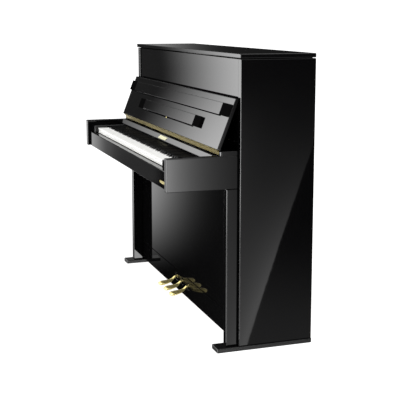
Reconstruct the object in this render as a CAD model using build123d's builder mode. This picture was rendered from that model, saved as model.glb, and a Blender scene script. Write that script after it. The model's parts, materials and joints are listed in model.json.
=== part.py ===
"""Upright piano, 118 cm high, with an open fallboard that carries a folding music ledge.

Frame: millimetres, +Z up, +X to the player's right, +Y from the player towards the back.
The origin is on the floor, in the middle of the box that holds the whole piano.
Rest pose: lid shut, fallboard leaning open, keys and pedals up.
"""

import os
from math import cos, radians, sin

from build123d import *

# ---- driving dimensions ----------------------------------------------------------------
# case
CASE_HALF = 755.0  # outer face of a side panel
SIDE_THICK = 30.0
SIDE_FRONT = -13.0
SIDE_BACK = 302.0
SIDE_TOP = 1158.0
FOOT_HIGH = 18.0
FOOT_WIDE = 68.0
FOOT_FRONT = -105.0
FOOT_BACK = 305.0
EDGE = 2.5  # eased edge of a lacquered board
# arms and legs, set in from the side panels
ARM_OUTER = CASE_HALF - 18.0
ARM_INNER = ARM_OUTER - 32.0
ARM_FRONT = -305.0
ARM_BOTTOM = 655.0
ARM_TOP = 785.5
LEG_FRONT = -62.0
# boards between the sides
BOARD_HALF = CASE_HALF - SIDE_THICK - 0.5
KEYBED_THICK = 35.0
KEYBED_BACK = 120.0
SLIP_FRONT = -294.0
SLIP_BACK = -271.0
SLIP_TOP = 729.0
SHELF_FRONT = -91.0
SHELF_TOP = 804.0
UPPER_FRONT = -7.0
UPPER_THICK = 20.0
LOWER_FRONT = -10.0
LOWER_THICK = 18.0
TOE_RAIL = (22.0, 117.0)  # bottom and top
# keyboard
WHITE_PITCH = 23.5
WHITE_COUNT = 52
KEY_GAP = 1.0
KEY_FRONT = -268.0
KEY_REAR = 85.0
KEY_TOP = 754.5
KEY_BOTTOM = 730.5
KEY_LIP = 2.0
HEAD_LONG = 50.0
SHARP_WIDE = 10.6
SHARP_RISE = 12.0
SHARP_CLEAR = 1.2
BALANCE_Y = -55.0
# fallboard and its hinge
HINGE_Y = -94.0
HINGE_Z = 806.5
LEAN = radians(21.2)
FALL_HALF = 742.0
FALL_START = 3.0
FALL_END = 212.0
FALL_OUTER = -3.5
FALL_THICK = 15.0
STRIP = (135.0, 185.0)
STRIP_THICK = 9.0
STRIP_HALF = 650.0
LEDGE_HALF = 388.0
LEDGE_BLOCK = 85.0
LEDGE_THICK = 8.0
LEDGE_AXIS = 64.0
LEDGE_TOP = 108.0
# lid
LID_HALF = 760.0
LID_FRONT = -18.0
LID_BACK = 300.0
LID_BOTTOM = 1161.0
LID_THICK = 17.0
LID_AXIS = (302.6, 1159.5)  # Y and Z
# pedals
PEDAL_PITCH = 90.0
PEDAL_PIVOT = (60.0, 84.0)  # Y and Z
PEDAL_TIP = -103.0
LEVER_HALF = 5.0  # half the thickness of a pedal's lever
# oval cross sections of a pedal from the toe rail to its tip:
# Y, height of the middle, half the width, half the height
PEDAL_SECTIONS = (
    (-4.0, 84.0, 6.0, 4.8),
    (-13.0, 83.0, 6.0, 5.4),
    (-21.0, 79.0, 6.2, 7.2),
    (-28.0, 72.5, 6.8, 8.2),
    (-36.0, 66.0, 8.6, 8.4),
    (-47.0, 61.5, 12.8, 8.6),
    (-62.0, 58.5, 18.0, 9.4),
    (-80.0, 56.0, 20.5, 10.0),
    (-93.0, 54.6, 17.0, 8.8),
    (-100.0, 53.8, 10.0, 5.4),
    (PEDAL_TIP, 53.5, 3.0, 1.6),
)
PIVOT_PIN = 4.0
RUNNING_FIT = 0.05
KNUCKLE_GAP = 0.3
ROD_Y = 140.0
ROD_RADIUS = 7.0
# back, soundboard and strings
POST_X = (-660.0, -330.0, 0.0, 330.0, 660.0)
POST_WIDE = 62.0
BACK_FRONT = 236.0
BACK_REAR = 299.5
BEAM_TOP_LOW = 1060.0
BEAM_BOTTOM_HIGH = 120.0
BOARD_FRONT = 213.0
BOARD_THICK = 9.0
RIB_DEEP = 13.0
PLATE_FRONT = 190.0
PLATE_THICK = 14.0
PLATE_HALF = 700.0
STRING_Y = 187.5
PIN_RADIUS = 3.3
# the strings lie in four sections with a bar of the plate between each two
SECTION_COLUMNS = (16, 15, 13, 11)
SECTION_NOTES = (26, 24, 20, 18)
DAMPED_NOTES = 66
COLUMN_PITCH = 22.0
ROWS = 4
BAR_WIDE = 24.0
HAMMER_PIVOT = (118.0, 858.0)  # Y and Z
DAMPER_PIVOT = (150.0, 850.0)

SIDES = (("left", -1.0), ("right", 1.0))
FALLBOARD = Plane(
    origin=(0, HINGE_Y, HINGE_Z), x_dir=(1, 0, 0), z_dir=(0, -cos(LEAN), sin(LEAN))
)
FALL_INNER = FALL_OUTER + FALL_THICK

os.makedirs("parts", exist_ok=True)


# ---- helpers ---------------------------------------------------------------------------
def save(piece, name):
    """Label a finished piece and write it as one STEP file."""
    piece.part.label = name
    export_step(piece.part, f"parts/{name}.step")


def save_group(pieces, name):
    """Write several separate solids as one node."""
    node = Compound([solid for piece in pieces for solid in piece.part.solids()])
    node.label = name
    export_step(node, f"parts/{name}.step")


def add_box(x, y, z):
    """Add a box to the piece being built, between its limits along X, Y and Z."""
    with BuildSketch(Plane.XY.offset(z[0])) as base:
        with Locations(((x[0] + x[1]) / 2, (y[0] + y[1]) / 2)):
            Rectangle(abs(x[1] - x[0]), abs(y[1] - y[0]))
    extrude(base.sketch, amount=z[1] - z[0])


def board(x, y, z, edge=EDGE):
    """A plain board between its limits, with every edge eased."""
    with BuildPart() as piece:
        add_box(x, y, z)
        if edge:
            fillet(piece.edges(), edge)
    return piece


def add_profile(points, x_from, x_to):
    """Add a prism to the piece being built: a closed (Y, Z) outline run along X."""
    with BuildSketch(Plane.YZ.offset(x_from)) as outline:
        with BuildLine():
            Polyline(*points, close=True)
        make_face()
    extrude(outline.sketch, amount=x_to - x_from)


def section_layout():
    """The left edge and the width of each string section, from bass to treble."""
    widths = [columns * COLUMN_PITCH for columns in SECTION_COLUMNS]
    left = -(sum(widths) + BAR_WIDE * (len(widths) - 1)) / 2
    layout = []
    for width in widths:
        layout.append((left, width))
        left += width + BAR_WIDE
    return layout


def note_places():
    """The X of each of the 88 notes along the strings."""
    places = []
    for (left, width), notes in zip(section_layout(), SECTION_NOTES):
        places += [left + width * (n + 0.5) / notes for n in range(notes)]
    return places


def hitch_height(x):
    """Height of the plate's lower edge, which climbs from the bass to the treble."""
    return 520.0 + 0.42 * x


# ---- case ------------------------------------------------------------------------------
def make_sides():
    """Side panels, legs, arms and key blocks: one of each for either end."""
    for name, sign in SIDES:
        outer, inner = sign * CASE_HALF, sign * (CASE_HALF - SIDE_THICK)
        side = board((inner, outer), (SIDE_FRONT, SIDE_BACK), (FOOT_HIGH, SIDE_TOP))
        save(side, f"side_panel_{name}")

        x = (sign * ARM_INNER, sign * ARM_OUTER)
        save(board(x, (LEG_FRONT, SIDE_FRONT), (FOOT_HIGH, ARM_BOTTOM)), f"leg_{name}")
        save(board(x, (ARM_FRONT, SIDE_FRONT), (ARM_BOTTOM, ARM_TOP)), f"arm_{name}")
        save(key_block(sign), f"key_block_{name}")


def key_block(sign):
    """The block that fills the space between the last key and the arm."""
    key_end = WHITE_PITCH * WHITE_COUNT / 2 + KEY_GAP
    top, floor = 766.0, ARM_BOTTOM + KEYBED_THICK
    nose, rear = -285.0, -60.0
    outline = [
        (SLIP_BACK + 0.5, floor),
        (SLIP_BACK + 0.5, SLIP_TOP + 0.5),
        (nose, SLIP_TOP + 0.5),
        (nose, top),
        (rear, top),
        (rear, floor),
    ]
    ends = sorted((sign * key_end, sign * (ARM_INNER - 0.5)))
    with BuildPart() as block:
        add_profile(outline, *ends)
        upper = block.edges().filter_by(lambda edge: edge.center().Z > top - 1)
        fillet(upper, EDGE)
    return block


def make_feet():
    """Two long flat feet under the side panels and legs."""
    with BuildPart() as feet:
        for _, sign in SIDES:
            x = (sign * (CASE_HALF - FOOT_WIDE), sign * CASE_HALF)
            add_box(x, (FOOT_FRONT, FOOT_BACK), (0, FOOT_HIGH))
        fillet(feet.edges().filter_by(Axis.Z), 5)
        fillet(feet.faces().filter_by(Axis.Z).edges(), EDGE)
    save(feet, "feet")


def make_keybed():
    """The keybed, wider behind the arms where it meets the side panels."""
    front = SLIP_BACK + 0.5
    outline = [
        (ARM_INNER, front),
        (ARM_INNER, SIDE_FRONT),
        (BOARD_HALF, SIDE_FRONT),
        (BOARD_HALF, KEYBED_BACK),
    ]
    mirrored = [(-x, y) for x, y in reversed(outline)]
    with BuildPart() as keybed:
        with BuildSketch(Plane.XY.offset(ARM_BOTTOM)):
            with BuildLine():
                Polyline(*outline, *mirrored, close=True)
            make_face()
        extrude(amount=KEYBED_THICK)
        chamfer(keybed.edges().group_by(Axis.Z)[0], 1)
    save(keybed, "keybed")


def make_key_slip():
    """The rail across the front of the keys, with a soft upper front edge."""
    with BuildPart() as slip:
        add_box(
            (-ARM_INNER + 0.5, ARM_INNER - 0.5),
            (SLIP_FRONT, SLIP_BACK),
            (ARM_BOTTOM + 2, SLIP_TOP),
        )
        long_edges = slip.edges().filter_by(Axis.X)
        front_top = long_edges.group_by(Axis.Z)[-1].sort_by(Axis.Y)[0]
        fillet(front_top, 2)
        fillet(slip.edges().filter_by(Axis.X).group_by(Axis.Z)[0], 1.5)
    save(slip, "key_slip")


def make_nameboard():
    """The sloping rail over the back of the keys."""
    outline = [(-131, 769.2), (-110, 787.4), (-105, 787.4), (-105, 774), (-94, 774), (-94, 769.2)]
    with BuildPart() as nameboard:
        add_profile(outline, -ARM_INNER + 0.5, ARM_INNER - 0.5)
        front = nameboard.edges().filter_by(Axis.X).sort_by(Axis.Y)[0]
        fillet(front, 1)
    save(nameboard, "nameboard")


def make_hinge_shelf():
    """The shelf that carries the fallboard, resting on the arms and under the upper panel."""
    with BuildPart() as shelf:
        add_box((-ARM_OUTER, ARM_OUTER), (SHELF_FRONT, SIDE_FRONT), (ARM_TOP, SHELF_TOP))
        fillet(shelf.edges().filter_by(Axis.Z).group_by(Axis.Y)[0], 8)
        fillet(shelf.faces().filter_by(Axis.Z).edges(), 1.5)
        add_box(
            (-BOARD_HALF, BOARD_HALF),
            (SIDE_FRONT - 5, UPPER_FRONT + UPPER_THICK),
            (ARM_TOP + 2, SHELF_TOP - 2),
        )
    save(shelf, "hinge_shelf")


def make_panels():
    """The upper and lower panels, and the board along the bottom."""
    x = (-BOARD_HALF, BOARD_HALF)
    upper_back = UPPER_FRONT + UPPER_THICK
    lower_back = LOWER_FRONT + LOWER_THICK
    toe_top = TOE_RAIL[1]
    save(board(x, (UPPER_FRONT, upper_back), (SHELF_TOP, SIDE_TOP - 1), 1.5), "upper_panel")
    save(board(x, (LOWER_FRONT, lower_back), (toe_top + 1, ARM_BOTTOM - 1), 1.5), "lower_panel")
    save(board(x, (12.5, BACK_FRONT - 4), (22, 44), 1), "bottom_board")


def make_toe_rail():
    """The rail below the lower panel, with a slot for each pedal."""
    bottom, top = TOE_RAIL
    back = 12.0
    slot_wide, slot_low, slot_high = 25.0, 64.0, 99.0
    with BuildPart() as rail:
        add_box((-BOARD_HALF, BOARD_HALF), (LOWER_FRONT, back), (bottom, top))
        fillet(rail.edges(), 1.5)
        with BuildSketch(Plane.XZ.offset(-back - 1)):
            with Locations((0, (slot_low + slot_high) / 2)):
                with GridLocations(PEDAL_PITCH, 1, 3, 1):
                    RectangleRounded(slot_wide, slot_high - slot_low, 6)
        extrude(amount=back - LOWER_FRONT + 2, mode=Mode.SUBTRACT)
    save(rail, "toe_rail")


def make_back_frame():
    """Top and bottom beams with upright posts between them."""
    x = (-BOARD_HALF, BOARD_HALF)
    with BuildPart() as beams:
        add_box(x, (BACK_FRONT, BACK_REAR), (BEAM_TOP_LOW, SIDE_TOP))
        add_box(x, (BACK_FRONT, BACK_REAR), (22, BEAM_BOTTOM_HIGH))
        fillet(beams.edges(), 3)
    with BuildPart() as posts:
        for centre in POST_X:
            half = POST_WIDE / 2
            low, high = BEAM_BOTTOM_HIGH, BEAM_TOP_LOW
            add_box((centre - half, centre + half), (BACK_FRONT, BACK_REAR - 2), (low, high))
        fillet(posts.edges().filter_by(Axis.Z), 3)
    save_group([beams, posts], "back_frame")


def make_rubber_buttons():
    """Small rubber buttons that the lid and the open fallboard rest on."""
    lid_button_high = LID_BOTTOM - SIDE_TOP - 0.3
    lean_high, lean_reach = 990.0, 9.0
    with BuildPart() as buttons:
        with BuildSketch(Plane.XY.offset(SIDE_TOP)):
            with GridLocations(2 * CASE_HALF - SIDE_THICK, 200, 2, 2):
                with Locations((0, 130)):
                    Circle(6)
        extrude(amount=lid_button_high)
        with BuildSketch(Plane.XZ.offset(-UPPER_FRONT)):
            with Locations((-600, lean_high), (600, lean_high)):
                Circle(7)
        extrude(amount=lean_reach)
    save(buttons, "rubber_buttons")


# ---- hinges ----------------------------------------------------------------------------
def hinge_leaf(section, length, knuckles, own, leaf, knuckle, bore):
    """One leaf of a hinge, centred on its plane, with every second knuckle.

    section is a plane across the hinge's axis: its X runs away from the axis along the leaf
    and its Y across the leaf. leaf is (near, far, low, high) in that plane. own is the
    leaf's first knuckle, 0 or 1.
    """
    near, far, low, high = leaf
    middle = (low + high) / 2
    pitch = length / knuckles
    with BuildPart() as piece:
        with BuildSketch(section.offset(-length / 2)):
            with Locations(((near + far) / 2, middle)):
                Rectangle(far - near, high - low)
        extrude(amount=length)
        for index in range(own, knuckles, 2):
            with BuildSketch(section.offset(-length / 2 + index * pitch + KNUCKLE_GAP / 2)):
                with Locations((near / 2 + 0.1, middle)):
                    Rectangle(near + 0.2, high - low)
                Circle(knuckle)
                Circle(bore, mode=Mode.SUBTRACT)
            extrude(amount=pitch - KNUCKLE_GAP)
    return piece


def hinge_pin(section, start, length, radius):
    """A plain pin along the axis of a hinge."""
    with BuildPart() as pin:
        with BuildSketch(section.offset(start)):
            Circle(radius)
        extrude(amount=length)
    return pin


def make_fallboard_hinge():
    """A long brass hinge between the shelf's front edge and the fallboard."""
    length, count, pin_radius, knuckle = 1456.0, 41, 1.2, 2.6
    axis = (0, HINGE_Y, HINGE_Z)
    down = Plane(origin=axis, x_dir=(0, 0, -1), z_dir=(1, 0, 0))
    fixed_leaf = (3.0, 16.0, 1.6, 3.0)
    fixed = hinge_leaf(down, length, count, 0, fixed_leaf, knuckle, pin_radius)
    pin = hinge_pin(down, -length / 2, length, pin_radius)
    save_group([fixed, pin], "fallboard_hinge")

    inward = Plane(origin=axis, x_dir=FALLBOARD.z_dir, z_dir=(-1, 0, 0))
    swung_leaf = (3.0, FALL_INNER, 1.6, 3.0)
    bore = pin_radius + RUNNING_FIT
    swung = hinge_leaf(inward, length, count, 1, swung_leaf, knuckle, bore)
    save(swung, "fallboard_hinge_leaf")


def make_lid_hinges():
    """Three butt hinges along the back of the lid."""
    axis_y, axis_z = LID_AXIS
    length, pin_radius, knuckle = 78.0, 1.0, 2.2
    leaf = (2.6, 27.0, 0.2, 1.5)
    fixed, swung = [], []
    for x in (-500.0, 0.0, 500.0):
        origin = (x, axis_y, axis_z)
        below = Plane(origin=origin, x_dir=(0, -1, 0), z_dir=(1, 0, 0))
        above = Plane(origin=origin, x_dir=(0, -1, 0), z_dir=(-1, 0, 0))
        fixed.append(hinge_leaf(below, length, 3, 1, leaf, knuckle, pin_radius))
        fixed.append(hinge_pin(below, -length / 2, length, pin_radius))
        swung.append(hinge_leaf(above, length, 3, 0, leaf, knuckle, pin_radius + RUNNING_FIT))
    save_group(fixed, "lid_hinges")
    save_group(swung, "lid_hinge_leaves")


# ---- lid and fallboard -----------------------------------------------------------------
def make_lid():
    """The flat lid, a little wider than the case."""
    z = (LID_BOTTOM, LID_BOTTOM + LID_THICK)
    save(board((-LID_HALF, LID_HALF), (LID_FRONT, LID_BACK), z), "lid")


def fallboard_piece(x, along, out, edge):
    """A board on the fallboard: limits across, along it from the hinge, and out from its axis."""
    with BuildPart() as piece:
        with BuildSketch(FALLBOARD.offset(out[0])):
            with Locations(((x[0] + x[1]) / 2, (along[0] + along[1]) / 2)):
                Rectangle(x[1] - x[0], along[1] - along[0])
        extrude(amount=out[1] - out[0])
        if edge:
            fillet(piece.edges(), edge)
    return piece


def make_fallboard():
    """The fallboard, its stiffening strip and the pads at the strip's ends."""
    width = (-FALL_HALF, FALL_HALF)
    out = (FALL_OUTER, FALL_INNER)
    save(fallboard_piece(width, (FALL_START, FALL_END), out, EDGE), "fallboard")

    out = (FALL_INNER, FALL_INNER + STRIP_THICK)
    save(fallboard_piece((-STRIP_HALF, STRIP_HALF), STRIP, out, 1.5), "fallboard_strip")

    pads = []
    for _, sign in SIDES:
        x = sorted((sign * (STRIP_HALF + 0.3), sign * FALL_HALF))
        pads.append(fallboard_piece(x, STRIP, out, 0.8))
    save_group(pads, "strip_pads")


def make_music_ledge():
    """The folding music ledge and the two blocks that hold its pivot pins."""
    out = FALL_INNER + 0.4
    axis_out = out + LEDGE_THICK / 2
    across = Plane(FALLBOARD.from_local_coords((0, LEDGE_AXIS, axis_out)), (1, 0, 0), FALLBOARD.z_dir)
    section = Plane(across.origin, x_dir=across.y_dir, z_dir=(1, 0, 0))
    pin_radius, pin_reach = 1.5, 12.0
    reach = LEDGE_TOP - LEDGE_AXIS
    with BuildPart() as ledge:
        with BuildSketch(section.offset(-LEDGE_HALF)):
            Circle(LEDGE_THICK / 2)
            with Locations((reach / 2, 0)):
                Rectangle(reach, LEDGE_THICK)
        extrude(amount=2 * LEDGE_HALF)
        far_edges = ledge.edges().filter_by(Axis.X).sort_by(Axis.Z)[-2:]
        fillet(far_edges, 1.5)
        for start in (-LEDGE_HALF, LEDGE_HALF - pin_reach):
            with BuildSketch(section.offset(start)):
                Circle(pin_radius + RUNNING_FIT)
            extrude(amount=pin_reach, mode=Mode.SUBTRACT)
    save(ledge, "music_ledge")

    pieces = []
    along = (LEDGE_AXIS - LEDGE_THICK / 2, LEDGE_TOP)
    thick = (FALL_INNER, out + LEDGE_THICK)
    for _, sign in SIDES:
        near, far = sign * (LEDGE_HALF + 0.5), sign * (LEDGE_HALF + LEDGE_BLOCK)
        block = fallboard_piece(sorted((near, far)), along, thick, 0.8)
        pieces.append(block)
        tip = sign * (LEDGE_HALF - pin_reach + 1)
        start = min(near, tip)
        pieces.append(hinge_pin(section, start, abs(near - tip), pin_radius))
    save_group(pieces, "ledge_blocks")


# ---- keyboard --------------------------------------------------------------------------
# Each natural has a letter. A sharp stands on the right-hand joint of the letters below,
# a little to one side of it.
SHARP_SHIFT = {"A": 3.9, "C": -2.8, "D": 2.8, "F": -3.9, "G": 0.0}
LETTERS = "ABCDEFG"
MIDDLE = range(23, 30)  # the naturals of the middle octave, counted from the left


def letter(index):
    """The letter of a natural, counted from the left."""
    return LETTERS[index % len(LETTERS)]


def has_sharp(index):
    """Whether a sharp stands between this natural and the next."""
    return letter(index) in SHARP_SHIFT and index < WHITE_COUNT - 1


def natural_left(index):
    """X of a natural's left joint."""
    return WHITE_PITCH * (index - WHITE_COUNT / 2)


def sharp_centre(index):
    """X of the sharp to the right of a natural."""
    return natural_left(index + 1) + SHARP_SHIFT[letter(index)]


def natural_outline(index, front):
    """Outline of a natural from above, cut back beside its sharps."""
    left = natural_left(index) + KEY_GAP / 2
    right = natural_left(index + 1) - KEY_GAP / 2
    tail_left, tail_right = left, right
    room = SHARP_WIDE / 2 + SHARP_CLEAR
    if index > 0 and has_sharp(index - 1):
        tail_left = sharp_centre(index - 1) + room
    if has_sharp(index):
        tail_right = sharp_centre(index) - room
    head = KEY_FRONT + HEAD_LONG
    points = [(left, front), (right, front), (right, head), (tail_right, head)]
    points += [(tail_right, KEY_REAR), (tail_left, KEY_REAR), (tail_left, head), (left, head)]
    return [p for i, p in enumerate(points) if p != points[i - 1]]


def natural(index):
    """A natural: the wooden stick and a playing top that overhangs it in front."""
    top_thick = 3.0
    with BuildPart() as key:
        for front, low, high in (
            (KEY_FRONT + KEY_LIP, KEY_BOTTOM, KEY_TOP - top_thick),
            (KEY_FRONT, KEY_TOP - top_thick, KEY_TOP),
        ):
            with BuildSketch(Plane.XY.offset(low)):
                with BuildLine():
                    Polyline(*natural_outline(index, front), close=True)
                make_face()
            extrude(amount=high - low)
        front_top = key.edges().filter_by(Axis.X).group_by(Axis.Z)[-1].sort_by(Axis.Y)[0]
        chamfer(front_top, 1)
    return key


def sharp(index):
    """A sharp: a tall narrow key with a sloping nose."""
    centre = sharp_centre(index)
    nose = KEY_FRONT + HEAD_LONG + SHARP_CLEAR
    top = KEY_TOP + SHARP_RISE
    outline = [
        (nose, KEY_BOTTOM),
        (nose, KEY_TOP - 1),
        (nose + 7, top),
        (nose + 98, top),
        (nose + 98, KEY_TOP),
        (KEY_REAR, KEY_TOP),
        (KEY_REAR, KEY_BOTTOM),
    ]
    with BuildPart() as key:
        add_profile(outline, centre - SHARP_WIDE / 2, centre + SHARP_WIDE / 2)
        upper = key.edges().filter_by(Axis.Y).group_by(Axis.Z)[-1]
        chamfer(upper, 1.2)
    return key


def make_keys():
    """All 88 keys: the middle octave key by key, the others as two groups."""
    naturals, sharps = [], []
    for index in range(WHITE_COUNT):
        name = f"key_{letter(index).lower()}4"
        if index in MIDDLE:
            save(natural(index), name)
        else:
            naturals.append(natural(index))
        if not has_sharp(index):
            continue
        if index in MIDDLE:
            save(sharp(index), f"{name}_sharp")
        else:
            sharps.append(sharp(index))
    save_group(naturals, "white_keys")
    save_group(sharps, "black_keys")


def make_key_frame():
    """Front, balance and back rails that carry the keys."""
    half = WHITE_PITCH * WHITE_COUNT / 2
    floor = ARM_BOTTOM + KEYBED_THICK
    rails = (
        ((-262, -215), 719.0),
        ((BALANCE_Y - 10, BALANCE_Y + 10), KEY_BOTTOM - 0.8),
        ((KEY_REAR - 25, KEY_REAR), KEY_BOTTOM - 0.5),
    )
    with BuildPart() as frame:
        for y, top in rails:
            add_box((-half, half), y, (floor, top))
    save(frame, "key_frame")


# ---- action ----------------------------------------------------------------------------
def make_action_frame():
    """Four brackets standing behind the keys and the main rail that joins them."""
    floor = ARM_BOTTOM + KEYBED_THICK
    rail_y, rail_z = (128.0, 146.0), (800.0, 835.0)
    outline = [
        (92, floor),
        (118, floor),
        (118, 790),
        (160, 790),
        (160, 990),
        (146, 990),
        (146, 836),
        (100, 836),
        (92, 760),
    ]
    thick = 8.0
    places = [-655.0] + [left - BAR_WIDE / 2 for left, _ in section_layout()[1:3]] + [655.0]
    with BuildPart() as brackets:
        for x in places:
            add_profile(outline, x - thick / 2, x + thick / 2)
    rails = []
    for x_from, x_to in zip(places, places[1:]):
        with BuildPart() as rail:
            add_box((x_from + thick / 2, x_to - thick / 2), rail_y, rail_z)
        rails.append(rail)
    save_group([brackets] + rails, "action_frame")


def make_hammers():
    """88 hammers leaning on their rest rail, as one group."""
    y, z = HAMMER_PIVOT
    wide = 9.0
    outline = [
        (y - 6, z - 12),
        (y + 6, z - 12),
        (y + 6, z + 8),
        (y + 3, z + 12),
        (y + 3, z + 116),
        (y + 12, z + 116),
        (y + 26, z + 124),
        (y + 26, z + 132),
        (y + 12, z + 140),
        (y - 14, z + 136),
        (y - 14, z + 120),
        (y - 3, z + 116),
        (y - 3, z + 12),
        (y - 6, z + 8),
    ]
    pieces = []
    for x in note_places():
        with BuildPart() as hammer:
            add_profile(outline, x - wide / 2, x + wide / 2)
        pieces.append(hammer)
    with BuildPart() as rail:
        add_box((-640, 640), (y - 22, y - 3.2), (z + 80, z + 104))
    save_group(pieces + [rail], "hammers")


def make_dampers():
    """One damper for each of the lower notes, resting against the strings."""
    y, z = DAMPER_PIVOT
    face = STRING_Y - 2.0
    wide = 8.0
    outline = [(y - 2, z - 6), (y + 4, z - 6), (y + 4, z + 40), (face - 12, z + 46)]
    outline += [(face - 12, z + 40), (face, z + 40), (face, z + 84), (face - 12, z + 84)]
    outline += [(face - 12, z + 54), (y - 2, z + 48)]
    pieces = []
    for x in note_places()[:DAMPED_NOTES]:
        with BuildPart() as damper:
            add_profile(outline, x - wide / 2, x + wide / 2)
        pieces.append(damper)
    save_group(pieces, "dampers")


def make_muffler_rail():
    """The felt strip on its rail that the middle pedal lowers in front of the strings."""
    outline = [(158, 1024), (158, 1038), (180, 1038), (180, 1000), (176, 1000), (176, 1024)]
    left, width = section_layout()[0]
    right = section_layout()[-1]
    with BuildPart() as rail:
        add_profile(outline, left, right[0] + right[1])
    with BuildPart() as cut:
        add(rail.part)
        for start, _ in section_layout()[1:]:
            low = (start - BAR_WIDE - 1, start + 1)
            with BuildSketch(Plane.XY.offset(1000)):
                with Locations(((low[0] + low[1]) / 2, 180)):
                    Rectangle(low[1] - low[0], 30)
            extrude(amount=70, mode=Mode.SUBTRACT)
    save(cut, "muffler_rail")


# ---- back: soundboard, plate, pins, strings --------------------------------------------
def make_soundboard():
    """The soundboard with diagonal ribs behind it and the string bridge in front."""
    low, high, half = 60.0, 1004.0, 715.0
    centre = (0, (low + high) / 2)
    with BuildPart() as panel:
        with BuildSketch(Plane.XZ.offset(-BOARD_FRONT - BOARD_THICK)):
            with Locations(centre):
                Rectangle(2 * half, high - low)
        extrude(amount=BOARD_THICK)
    rib_wide, rib_pitch = 26.0, 190.0
    with BuildPart() as ribs:
        with BuildSketch(Plane.XZ.offset(-BOARD_FRONT - BOARD_THICK - RIB_DEEP)):
            with Locations(Location((centre[0], centre[1], 0), (0, 0, 40))):
                with GridLocations(1, rib_pitch, 1, 9):
                    Rectangle(3000, rib_wide)
            with Locations(centre):
                Rectangle(2 * half - 40, high - low - 40, mode=Mode.INTERSECT)
        extrude(amount=RIB_DEEP)
    bridge_deep = BOARD_FRONT - STRING_Y - 1.7
    with BuildPart() as bridge:
        with BuildSketch(Plane.XZ.offset(-BOARD_FRONT)):
            with BuildLine() as line:
                reach = 620.0
                heights = [hitch_height(x) + 55 for x in (-reach, 0, reach)]
                Spline((-reach, heights[0]), (0, heights[1] - 15), (reach, heights[2]))
            trace(line_width=32)
        extrude(amount=bridge_deep)
    save_group([panel, ribs, bridge], "soundboard")


def pin_places():
    """X and Z of each tuning pin: columns of four, each pin a step to the right and up."""
    places = []
    for (left, _), columns in zip(section_layout(), SECTION_COLUMNS):
        for column in range(columns):
            for row in range(ROWS):
                x = left + COLUMN_PITCH * (column + (row + 0.5) / ROWS)
                places.append((x, 1045.0 + 25.0 * row))
    return places


def make_iron_plate():
    """The cast plate: pin field, frame and hitch panel, with bars between the sections."""
    low, high, field = 70.0, 1150.0, 1010.0
    rail = 40.0
    back = PLATE_FRONT + PLATE_THICK
    with BuildPart() as plate:
        with BuildSketch(Plane.XZ.offset(-back)):
            with Locations((0, (low + high) / 2)):
                Rectangle(2 * PLATE_HALF, high - low)
            inner = PLATE_HALF - rail
            with BuildLine():
                Polyline(
                    (-inner, hitch_height(-inner)),
                    (inner, hitch_height(inner)),
                    (inner, field),
                    (-inner, field),
                    close=True,
                )
            make_face(mode=Mode.SUBTRACT)
            cut_pin_holes()
        extrude(amount=PLATE_THICK)
        for left, _ in section_layout()[1:]:
            x = left - BAR_WIDE / 2
            foot = hitch_height(x)
            bar_front, bar_back = 168.0, 184.0
            outline = [
                (bar_front, foot - 80),
                (bar_front, field + 30),
                (PLATE_FRONT + 1, field + 30),
                (PLATE_FRONT + 1, field + 4),
                (bar_back, field - 10),
                (bar_back, foot - 20),
                (PLATE_FRONT + 1, foot - 40),
                (PLATE_FRONT + 1, foot - 80),
            ]
            add_profile(outline, x - 8, x + 8)
    save(plate, "iron_plate")


def cut_pin_holes():
    """Cut a hole for every tuning pin in the sketch being drawn."""
    with Locations(*pin_places()):
        Circle(PIN_RADIUS, mode=Mode.SUBTRACT)


def make_pin_block():
    """The laminated block behind the plate that grips the tuning pins."""
    front = PLATE_FRONT + PLATE_THICK
    with BuildPart() as block:
        with BuildSketch(Plane.XZ.offset(-BACK_FRONT)):
            with Locations((0, 1080)):
                Rectangle(2 * PLATE_HALF, 140)
            cut_pin_holes()
        extrude(amount=BACK_FRONT - front)
    save(block, "pin_block")


def make_tuning_pins():
    """220 tuning pins through the plate into the pin block."""
    front = 168.0
    with BuildPart() as pins:
        with BuildSketch(Plane.XZ.offset(-BACK_FRONT + 6)):
            with Locations(*pin_places()):
                Circle(PIN_RADIUS)
        extrude(amount=BACK_FRONT - 6 - front)
    save(pins, "tuning_pins")


def make_strings():
    """220 strings from the tuning pins down to the plate's hitch panel."""
    bass_right = section_layout()[1][0]
    wires = []
    for x, pin_z in pin_places():
        radius = 1.1 if x < bass_right else 0.5
        low = hitch_height(x) - 30
        with BuildPart() as wire:
            with BuildSketch(Plane(origin=(x, STRING_Y, low), z_dir=(0, 0, 1))):
                Circle(radius)
            extrude(amount=pin_z - PIN_RADIUS - low)
        wires.append(wire)
    save_group(wires, "strings")


# ---- pedals ----------------------------------------------------------------------------
def pedal(x):
    """A brass pedal: a rounded spoon in front, a rising neck, and a lever back to its pivot."""
    pivot_y, pivot_z = PEDAL_PIVOT
    lever_end = 152.0
    lever_wide = 12.0
    with BuildPart() as piece:
        for y, middle, half_wide, half_high in PEDAL_SECTIONS:
            with BuildSketch(Plane.XZ.offset(-y)):
                with Locations((x, middle)):
                    Ellipse(half_wide, half_high)
        loft()
        add_box(
            (x - lever_wide / 2, x + lever_wide / 2),
            (-8, lever_end),
            (pivot_z - LEVER_HALF, pivot_z + LEVER_HALF),
        )
        with BuildSketch(Plane.YZ.offset(x - lever_wide)):
            with Locations((pivot_y, pivot_z)):
                Circle(PIVOT_PIN + RUNNING_FIT)
        extrude(amount=2 * lever_wide, mode=Mode.SUBTRACT)
    return piece


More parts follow.
